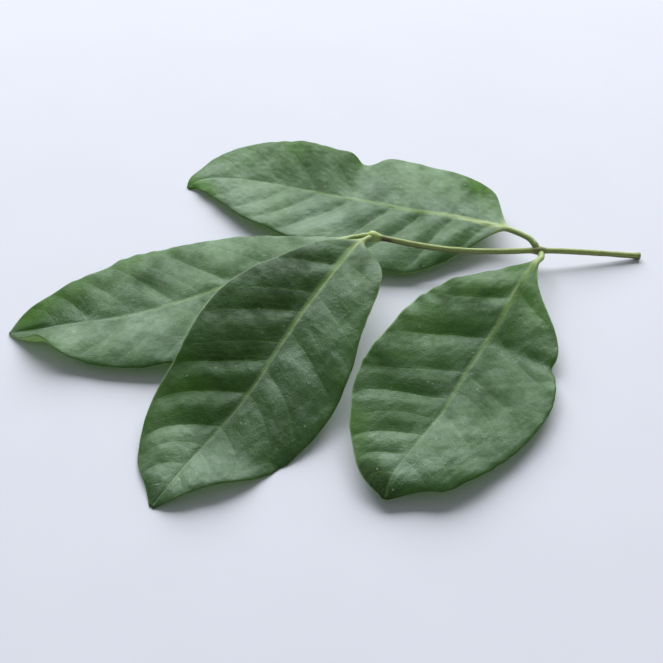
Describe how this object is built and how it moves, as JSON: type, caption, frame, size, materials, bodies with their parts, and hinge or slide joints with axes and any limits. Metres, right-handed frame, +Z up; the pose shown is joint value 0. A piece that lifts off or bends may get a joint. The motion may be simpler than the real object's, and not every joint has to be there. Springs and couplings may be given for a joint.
{
  "type": "indonesian bay leaf sprig",
  "caption": "Cut sprig of broad, pointed evergreen bay leaves on one thin woody twig, lying down, leaves waved and ribbed.",
  "frame": {"origin": "below the middle of the lying sprig's outline, on the surface that it lies on", "axes": "+X along the twig towards its cut end, +Y away from the two leaves that point forward, +Z up"},
  "size_m": [0.1905, 0.1493, 0.0149],
  "materials": {
    "leaf_green": null,
    "twig_bark": "green and brown young twig, satin"
  },
  "bodies": {
    "root": {"twig": "twig_bark", "leaf_back": "leaf_green", "leaf_left": "leaf_green", "leaf_front": "leaf_green", "leaf_right": "leaf_green"}
  },
  "joints": []
}
